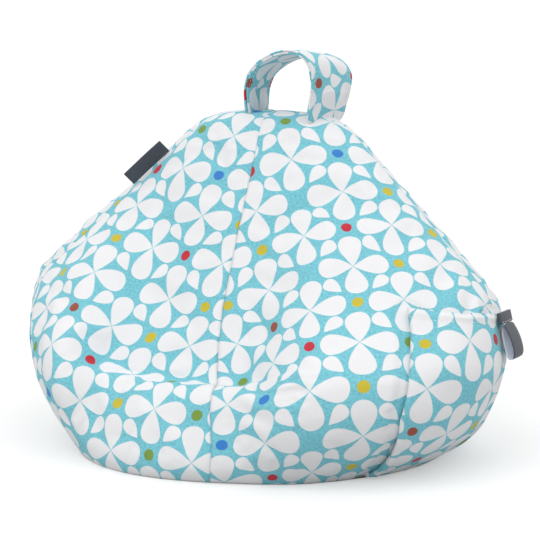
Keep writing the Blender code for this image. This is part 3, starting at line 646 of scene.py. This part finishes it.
def relief(name, point, distance):
    """How far the cloth of a cover panel stands out at a point, by its distance from the seam."""
    soft = noise.noise(point * SWELL_SCALE) * SWELL * min(distance / SWELL_START, 1.0)
    fine = noise.noise(point * PUCKER_SCALE + PUCKER_SHIFT)
    soft += fine * PUCKER * math.exp(-distance / PUCKER_REACH) * min(distance / PUCKER_START, 1.0)
    if name == DART_PANEL:
        away, along = off_line(point, DART)
        fold = DART_DEPTH * math.sin(math.pi * min(max(along, DART_END), 1 - DART_END)) ** 0.5
        soft -= fold * bell(away, DART_WIDTH)
        soft += DART_RIDGE * fold * bell(away - DART_RIDGE_PLACE, DART_WIDTH)
    if pocket_solid.find_nearest(point, POCKET_NEAR)[3] is not None:
        soft = min(soft, 0.0) - POCKET_SINK
    return soft


for name, (node, turn, shift, flat, area) in PANELS.items():
    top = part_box(node)[1].z - TOP_CUT
    panel = unfolded(new_piece(name, show_side(node, top=top)), turn, shift)
    refined(panel, SIMULATED_LEVELS)
    moved(panel.data, places(panel.data) + billowed(panel)[:, None] * outward(panel.data))
    refined(panel, FINE_LEVELS)
    where, out = places(panel.data), outward(panel.data)
    distance = seam_distance(panel.data)
    rise = np.array([relief(name, Vector(p), away) for p, away in zip(where, distance)])
    rise -= SEAM_DEPTH * (1 - ramp(distance / SEAM_REACH)) * ramp(where[:, 2] / FOOT_RISE)
    where = where + rise[:, None] * out
    wander = np.array([noise.noise_vector(Vector(p) * SEAM_WANDER_SCALE) for p in where])
    wander -= np.sum(wander * out, axis=1)[:, None] * out
    hold = bell(distance, SEAM_WANDER_REACH) * ramp(where[:, 2] / FOOT_RISE)
    where += SEAM_WANDER * hold[:, None] * wander
    where[:, 2] = np.maximum(where[:, 2], FLOOR_GAP)
    moved(panel.data, where)
    closed_up(panel.data, SEAM_CLOSE)
    panel.data.shade_smooth()
    thickened(panel, CLOTH)
    dressed(panel, cotton, "cushion", [node])

# Base.
# A round of plain hard-wearing cotton that the bag stands on, sewn to the foot of the cover, so
# only its cut edge shows as a thin line on the floor.
BASE_COLOUR = (146, 122, 82)
BASE_PITCH = 0.0009
BASE_SHOWS = 1.006
PLAIN_MOTTLE_GRAIN = (240.0, 4.0)
PLAIN_WEAVE_DEPTH = 0.0001
WHOLE_JOIN = 0.6


def plain_cloth(name, colour, pitch, roughness=0.85, sheen=0.1, uneven=0.12):
    finish, tree, shader = new_finish(name, roughness, sheen)
    place = in_place(tree)
    mottle = grain(tree, place, *PLAIN_MOTTLE_GRAIN).outputs["Fac"]
    shade = shaded(tree, mottle, colour, (1 - uneven, 1 + uneven))
    tree.links.new(shade, shader.inputs["Base Color"])
    woven(tree, place, pitch, PLAIN_WEAVE_DEPTH, shader)
    return finish


def whole_copy(name, node, levels=0):
    """The CAD solid of a soft piece, in four-sided faces and made smooth."""
    shape = node_shape(node)
    bmesh.ops.join_triangles(
        shape, faces=shape.faces, angle_face_threshold=WHOLE_JOIN, angle_shape_threshold=math.pi
    )
    piece = new_piece(name, shape)
    if levels:
        refined(piece, levels)
    piece.data.shade_smooth()
    return piece


base = whole_copy("base_cloth", "base_panel")
base.data.transform(Matrix.Diagonal((BASE_SHOWS, BASE_SHOWS, 1, 1)))
canvas = plain_cloth("base_canvas", BASE_COLOUR, BASE_PITCH)
dressed(base, canvas, "cushion", ["base_panel"])

# Liner and beads.
# An inner bag of thin white cloth holds the polystyrene beads, so the printed cover comes off for
# washing through the zip. Both stay out of sight inside the cover.
LINER_COLOUR = (232, 231, 226)
LINER_PITCH = 0.0006
BEAD_COLOUR = (244, 244, 242)
# How far each bead darkens towards the gaps between beads: painted shade.
BEAD_GAP_PAINTED_SHADE = (1.0, 0.8)
BEAD_SCALE = 260.0
BEAD_DEPTH = 0.002
BEAD_ROUGHNESS = 0.55
DRAWN_IN = 0.95

liner_cloth = plain_cloth("liner_weave", LINER_COLOUR, LINER_PITCH)
beads, tree, shader = new_finish("bead_surface", BEAD_ROUGHNESS)
balls = tree.nodes.new("ShaderNodeTexVoronoi")
balls.inputs["Scale"].default_value = BEAD_SCALE
tree.links.new(in_place(tree), balls.inputs["Vector"])
# Each bead is painted darker from its middle towards the gaps around it: painted shade.
shade = shaded(tree, balls.outputs["Distance"], BEAD_COLOUR, BEAD_GAP_PAINTED_SHADE)
tree.links.new(shade, shader.inputs["Base Color"])
bumped(tree, balls.outputs["Distance"], BEAD_DEPTH, shader).invert = True

for name, node, finish, slot in (
    ("inner_bag", "inner_liner", liner_cloth, "liner_cloth"),
    ("inner_bag_closure", "liner_closure", liner_cloth, "liner_cloth"),
    ("bead_filling", "bead_fill", beads, "beads"),
):
    piece = whole_copy(name, node, levels=1)
    piece.data.transform(Matrix.Scale(DRAWN_IN, 4))
    dressed(piece, finish, "cushion", [node])

# Pocket.
# A patch of the same print on the right-hand side, sewn down at its two sides and its foot, with a
# turned and stitched hem along its mouth. A stitch is given by its length, width and height.
THREAD = (0.0026, 0.00046, 0.00034)
THREAD_PITCH = 0.0033
THREAD_COLOUR = (232, 238, 240)
THREAD_TWIST = 0.0003
POCKET_TURN = 5
POCKET_SHIFT = (0.006, 0.017)
POCKET_LEVELS = 3
POCKET_EDGE = 0.0028
POCKET_SWELL = 0.0012
POCKET_SWELL_SCALE = 45.0
POCKET_SWELL_SHIFT = Vector((3, 3, 3))
POCKET_SWELL_START = 0.012
POCKET_WANDER = 0.0006
POCKET_WANDER_SCALE = 95.0
POCKET_WANDER_REACH = 0.006
POCKET_FLOOR_GAP = 0.0016
WELT = 0.0011
WELT_PLACE = 0.0032
WELT_WIDTH = 0.0016
HEM_DEPTH = 0.0066
MOUTH_REACH = 0.006
LEVEL_RUN = 0.5

thread = plain_cloth(
    "sewing_thread", THREAD_COLOUR, THREAD_TWIST, roughness=0.6, sheen=0.2, uneven=0.04
)


def borders(shape):
    """The closed rings of a sheet's border points, with the sheet on the left of each."""
    after, rings = {}, []
    for edge in shape.edges:
        if edge.is_boundary:
            corner = edge.link_loops[0]
            after[corner.vert] = corner.link_loop_next.vert
    while after:
        ring = [next(iter(after))]
        while ring[-1] in after:
            ring.append(after.pop(ring[-1]))
        rings.append([vert.co.copy() for vert in ring])
    return rings


def stitched(name, mesh, insets, chosen):
    """Rows of stitches on a sheet, each at its own distance in from the border, where chosen."""
    shape = bmesh.new()
    shape.from_mesh(mesh)
    surface = BVHTree.FromBMesh(shape)
    rings = borders(shape)
    shape.free()
    seed = bmesh.new()
    bmesh.ops.create_icosphere(seed, subdivisions=1, radius=0.5)
    corners = [Vector(a * b for a, b in zip(v.co, THREAD)) for v in seed.verts]
    sides = [[v.index for v in f.verts] for f in seed.faces]
    seed.free()
    points, faces = [], []
    for inset in insets:
        for ring in rings:
            ahead = 0.0
            for start, end in zip(ring, ring[1:]):
                run = (end - start).normalized()
                while ahead < (end - start).length:
                    spot = start + run * ahead
                    ahead += THREAD_PITCH
                    if not chosen(spot, run):
                        continue
                    inward = surface.find_nearest(spot)[1].cross(run)
                    lying, up = surface.find_nearest(spot + inward * inset)[:2]
                    along = (run - run.dot(up) * up).normalized()
                    turn = Matrix((along, up.cross(along), up)).transposed()
                    first = len(points)
                    points += [lying + turn @ corner for corner in corners]
                    faces += [[first + i for i in side] for side in sides]
                ahead -= (end - start).length
    rows = bpy.data.meshes.new(name)
    rows.from_pydata(points, [], faces)
    rows.materials.append(thread)
    rows.shade_smooth()
    piece = bpy.data.objects.new(name, rows)
    bpy.context.scene.collection.objects.link(piece)
    return piece


pocket = unfolded(new_piece("pocket_front", show_side("pocket_panel")), POCKET_TURN, POCKET_SHIFT)
refined(pocket, POCKET_LEVELS)
where, out, distance = places(pocket.data), outward(pocket.data), seam_distance(pocket.data)
rise = [noise.noise(Vector(p) * POCKET_SWELL_SCALE + POCKET_SWELL_SHIFT) for p in where]
rise = POCKET_SWELL * np.array(rise) * ramp(distance / POCKET_SWELL_START)
rise += WELT * bell(distance - WELT_PLACE, WELT_WIDTH)
wander = np.array([noise.noise_vector(Vector(p) * POCKET_WANDER_SCALE) for p in where])
where += POCKET_WANDER * bell(distance, POCKET_WANDER_REACH)[:, None] * wander
where += rise[:, None] * out
where[:, 2] = np.maximum(where[:, 2], POCKET_FLOOR_GAP)
moved(pocket.data, where)
pocket.data.shade_smooth()
pocket_mouth = places(pocket.data)[:, 2].max() - MOUTH_REACH


def along_mouth(spot, run):
    return spot.z > pocket_mouth and abs(run.z) < LEVEL_RUN


hem_rows = stitched("pocket_hem_stitching", pocket.data, (HEM_DEPTH,), along_mouth)
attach(hem_rows, "cushion")
thickened(pocket, POCKET_EDGE)
dressed(pocket, cotton, "cushion", ["pocket_panel"])

hem = whole_copy("pocket_hem_fold", "pocket_hem", levels=1)
hem_map = hem.data.uv_layers.new(name="cut")
for i, corner in enumerate(hem.data.loops):
    place = hem.data.vertices[corner.vertex_index].co
    hem_map.uv[i].vector = (place.x + place.y, place.z)
dressed(hem, cotton, "cushion", ["pocket_hem"])

# Pocket tag.
# A loop of grey ribbon, dark outside and pale inside, that hangs at the pocket's right corner from
# a small sewn head. The inside's pale colour is the ribbon's back made lighter still: painted
# light, since the inside of the loop lies in shade.
RIBBON_COLOUR = (58, 64, 74)
RIBBON_PITCH = 0.0006
RIBBON_UNEVEN = 0.06
# The ribbon's paler back, lightened further as painted light for the shaded inside of the loop.
TAG_INSIDE_WITH_PAINTED_LIGHT = (222, 229, 240)
TAG_INSIDE_MARGIN = 0.0003
TAG_TUCK = 0.0007
TAG_TUCK_REACH = 0.003
TAG_ROUNDING = 0.0004
HEAD_ROW_INSET = 0.0011
HEAD_ROW_REACH = 0.0006

ribbon = plain_cloth(
    "grey_ribbon", RIBBON_COLOUR, RIBBON_PITCH, roughness=0.6, sheen=0.2, uneven=RIBBON_UNEVEN
)
pale_back_with_painted_light = plain_cloth("ribbon_back_with_painted_light", TAG_INSIDE_WITH_PAINTED_LIGHT, RIBBON_PITCH, uneven=RIBBON_UNEVEN)


def rounded(piece, width):
    rounding = piece.modifiers.new("rounding", "BEVEL")
    rounding.width, rounding.segments = width, 2
    return rounding


tag_loop = whole_copy("tag_loop", "pocket_tag_loop", levels=1)
dressed(tag_loop, ribbon, "tag", ["pocket_tag_loop"])
tag_loop.data.materials.append(pale_back_with_painted_light)
where = places(tag_loop.data)
below_top = where[:, 2].max() - TAG_TUCK_REACH
where[:, 2] += TAG_TUCK * ramp((where[:, 2] - below_top) / TAG_TUCK_REACH)
moved(tag_loop.data, where)
middle = Vector(where.mean(axis=0))
# Faces on the inside of the loop take the pale back, which carries painted light.
for face in tag_loop.data.polygons:
    inner_side = face.normal.dot(face.center - middle) < -TAG_INSIDE_MARGIN
    face.material_index = int(inner_side)

tag_head = whole_copy("tag_head", "pocket_tag_head")
shape = bmesh.new()
shape.from_mesh(tag_head.data)
front = max(shape.faces, key=lambda face: face.calc_area() * face.normal.x)
bmesh.ops.delete(shape, geom=[face for face in shape.faces if face != front], context="FACES")
head_front = bpy.data.meshes.new("tag_head_front")
shape.to_mesh(head_front)
shape.free()
head_foot = places(head_front)[:, 2].min() + HEAD_ROW_REACH


def along_head_foot(spot, run):
    return spot.z < head_foot


head_row = stitched("tag_head_stitching", head_front, (HEAD_ROW_INSET,), along_head_foot)
bpy.data.meshes.remove(head_front)
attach(head_row, "cushion")
rounded(tag_head, TAG_ROUNDING)
dressed(tag_head, ribbon, "cushion", ["pocket_tag_head"])

# Side label.
# A short woven label, folded double and caught in the left-hand seam. It is left bare, and it
# curls a little.
LABEL_CUTS = 7
LABEL_CURL = 0.0011
LABEL_CURL_SCALE = 60.0
LABEL_CURL_SHIFT = Vector((8, 2, 5))
LABEL_ROUNDING = 0.0003
LABEL_EDGE = math.radians(50)

label = whole_copy("seam_label", "side_label")
shape = bmesh.new()
shape.from_mesh(label.data)
across = max(shape.faces, key=lambda face: face.calc_area()).normal.copy()
bmesh.ops.subdivide_edges(shape, edges=shape.edges, cuts=LABEL_CUTS, use_grid_fill=True)
for vert in shape.verts:
    curl = noise.noise(vert.co * LABEL_CURL_SCALE + LABEL_CURL_SHIFT)
    vert.co += across * LABEL_CURL * curl
shape.to_mesh(label.data)
shape.free()
rounding = rounded(label, LABEL_ROUNDING)
rounding.limit_method, rounding.angle_limit = "ANGLE", LABEL_EDGE
label.data.shade_smooth()
dressed(label, ribbon, "label", ["side_label"])

# Handle.
# A loop of two layers of the print, turned and stitched along both edges, whose ends go into the
# seam along the top. Its arms and its sewn ends are eased into one sheet where they meet.
HANDLE_PIVOT = Vector((-0.0056, 0.0567, 0.2225))
HANDLE_UP = Vector((0.01408, 0.09308, 0.99556))
HANDLE_AXIS = Vector((0.98876, -0.14954, 0.0))
HANDLE_TURN = 45
HANDLE_SHIFT = (0.004, 0.008)
STRAP_JOIN = 0.0022
EASED_FROM, EASED_TO = 0.017, 0.033
EASE_ROUNDS = 12
EASE_SHARE = 0.6
BEND_START, BEND_END = 0.003, 0.034
FOOT_SUNK = 0.0045
FOOT_HEIGHT = 0.006
STRAP_LEVELS = 2
STRAP_BODY = 0.0006
STRAP_BODY_START = 0.012
STRAP_SWELL = 0.0007
STRAP_SWELL_SCALE = 70.0
STRAP_SWELL_START = 0.01
STITCH_ROWS = (0.0022, 0.0046)
STITCH_FOOT = 0.004
STITCH_DIP = 0.0004
STITCH_DIP_PLACE = 0.004
STITCH_DIP_WIDTH = 0.0016


def eased(shape, chosen):
    """Draws points to the middle of their neighbours, and those on the border along it."""
    for _ in range(EASE_ROUNDS):
        goals = {}
        for vert in chosen:
            edges = vert.link_edges
            if vert.is_boundary:
                edges = [edge for edge in edges if edge.is_boundary]
            goals[vert] = sum((e.other_vert(vert).co for e in edges), Vector()) / len(edges)
        for vert, goal in goals.items():
            vert.co = vert.co.lerp(goal, EASE_SHARE)


def above_seam(point):
    return (point - HANDLE_PIVOT).dot(HANDLE_UP)


def from_hinge(point):
    """How far a point is from the line that the loop bends about."""
    offset = point - HANDLE_PIVOT
    return (offset - offset.dot(HANDLE_AXIS) * HANDLE_AXIS).length


def on_strap(spot, run):
    return above_seam(spot) > STITCH_FOOT


for name, part, rank, flat in (
    ("handle_outside", "handle_strap", -1, (0.038, 0.161)),
    ("handle_inside", "handle_lining", -2, (0.038, 0.147)),
):
    whole = bmesh.new()
    for node in (part, "handle_foot_left", "handle_foot_right"):
        side = show_side(node, rank=rank)
        layer = bpy.data.meshes.new("layer")
        side.to_mesh(layer)
        side.free()
        whole.from_mesh(layer)
        bpy.data.meshes.remove(layer)
    bmesh.ops.remove_doubles(whole, verts=whole.verts, dist=STRAP_JOIN)
    eased(whole, [vert for vert in whole.verts if EASED_FROM < from_hinge(vert.co) < EASED_TO])
    for vert in whole.verts:
        if vert.is_boundary and above_seam(vert.co) < FOOT_HEIGHT:
            vert.co -= HANDLE_UP * FOOT_SUNK
    strap = unfolded(new_piece(name, whole), HANDLE_TURN, HANDLE_SHIFT)
    refined(strap, STRAP_LEVELS)
    where, distance = places(strap.data), seam_distance(strap.data)
    puff = STRAP_BODY * ramp(distance / STRAP_BODY_START)
    puff -= STITCH_DIP * bell(distance - STITCH_DIP_PLACE, STITCH_DIP_WIDTH)
    swell = np.array([noise.noise(Vector(p) * STRAP_SWELL_SCALE) for p in where])
    puff += STRAP_SWELL * swell * ramp(distance / STRAP_SWELL_START)
    moved(strap.data, where + puff[:, None] * outward(strap.data))
    strap.data.shade_smooth()
    rows = stitched(f"{name}_stitching", strap.data, STITCH_ROWS, on_strap)
    thickened(strap, CLOTH)
    strap.data.materials.append(cotton)
    start, end = (HANDLE_PIVOT + HANDLE_UP * step for step in (BEND_START, BEND_END))
    for piece in (strap, rows):
        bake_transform(piece)
    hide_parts(part, "handle_foot_left", "handle_foot_right")

# Zip.
# A coil zip down the middle of the back: two woven tapes under the edges of the cover, the coil's
# teeth, a slider with a swinging pull, and a stop at each end. Past each stop the tapes run on
# over the inner bag, so that the ends of the opening are closed.
TAPE_COLOUR = (92, 178, 192)
TAPE_PITCH = 0.0008
TAPE_WAY = Vector((-0.01045, 0.32441, -0.94586))
TAPE_END = (0.017, 0.016)
TAPE_END_LAP = 0.002
TAPE_END_CELLS = 8
TAPE_LAST = 0.003
TAPE_LIFT = 0.0006
TAPE_THICKNESS = 0.0005
COIL_COLOUR = (118, 196, 207)
COIL_SHADES = (0.88, 1.0)
COIL_GRAIN = (900.0, 3.0)
COIL_ROUGHNESS = 0.42
METAL_COLOUR = (176, 178, 180)
METAL_SHADES = (0.85, 1.0)
METAL_GRAIN = (700.0, 4.0)
METAL_ROUGHNESS = 0.34
METAL_DEPTH = 0.00005

tape_cloth = plain_cloth("zip_tape_weave", TAPE_COLOUR, TAPE_PITCH, roughness=0.75)
for name, node in (("tape_left", "zip_tape_left"), ("tape_right", "zip_tape_right")):
    tape = dressed(whole_copy(name, node), tape_cloth, "cushion", [node])

liner_solid = solid_tree("inner_liner")
tape_points = [
    v.co for node in ("zip_tape_left", "zip_tape_right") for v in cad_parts[node].data.vertices
]
for name, way in (("tape_top_end", -TAPE_WAY), ("tape_bottom_end", TAPE_WAY)):
    last = max(point.dot(way) for point in tape_points)
    ends = [point for point in tape_points if point.dot(way) > last - TAPE_LAST]
    middle = sum(ends, Vector()) / len(ends)
    across = way.cross(Vector((0, 1, 0))).normalized()
    shape = bmesh.new()
    bmesh.ops.create_grid(shape, x_segments=TAPE_END_CELLS, y_segments=TAPE_END_CELLS, size=0.5)
    for vert in shape.verts:
        step = (vert.co.y + 0.5) * TAPE_END[1] - TAPE_END_LAP
        place = middle + across * vert.co.x * TAPE_END[0] + way * step
        hit, out = liner_solid.find_nearest(place)[:2]
        vert.co = hit + out * TAPE_LIFT
    shape.normal_update()
    if sum(face.normal.y for face in shape.faces) < 0:
        bmesh.ops.reverse_faces(shape, faces=shape.faces)
    end = new_piece(name, shape)
    end.data.materials.append(tape_cloth)
    thickened(end, TAPE_THICKNESS)
    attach(end, "cushion")

coil, tree, shader = new_finish("zip_coil_nylon", COIL_ROUGHNESS)
wear = grain(tree, in_place(tree), *COIL_GRAIN).outputs["Fac"]
tree.links.new(shaded(tree, wear, COIL_COLOUR, COIL_SHADES), shader.inputs["Base Color"])
metal, tree, shader = new_finish("zip_nickel", METAL_ROUGHNESS, metal=1.0)
wear = grain(tree, in_place(tree), *METAL_GRAIN).outputs["Fac"]
tree.links.new(shaded(tree, wear, METAL_COLOUR, METAL_SHADES), shader.inputs["Base Color"])
bumped(tree, wear, METAL_DEPTH, shader)
for node, finish in (
    ("zip_teeth_left", coil), ("zip_teeth_right", coil), ("zip_slider", metal), ("zip_pull", metal),
    ("zip_top_stop", metal), ("zip_bottom_stop", metal),
):
    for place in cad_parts[node].material_slots:
        place.material = finish
